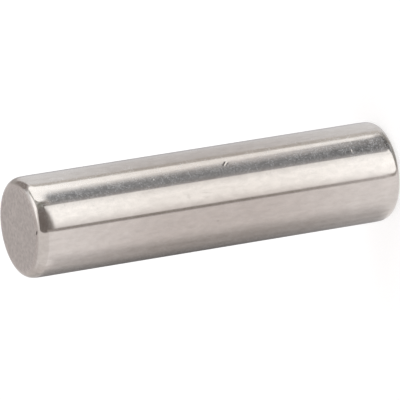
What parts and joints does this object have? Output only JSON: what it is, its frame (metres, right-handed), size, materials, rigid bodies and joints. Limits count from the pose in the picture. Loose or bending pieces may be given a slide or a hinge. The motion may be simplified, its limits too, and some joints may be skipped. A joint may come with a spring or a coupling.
{
  "type": "needle roller",
  "caption": "Slim solid steel roller with a ground cylindrical surface, flat ends and rounded corners, which carries radial load between the raceways of a needle bearing.",
  "frame": {"origin": "middle of the flat end that the roller stands on", "axes": "+Z is the roller's axis, towards the other end; X and Y are any two square directions across it, because it is round"},
  "size_m": [0.004, 0.004, 0.0158],
  "materials": {
    "bearing_steel": "through-hardened bearing steel, ground and superfinished on the rolling surface, tumbled to a satin grey on the ends"
  },
  "bodies": {
    "root": {"needle_roller": "bearing_steel"}
  },
  "joints": []
}
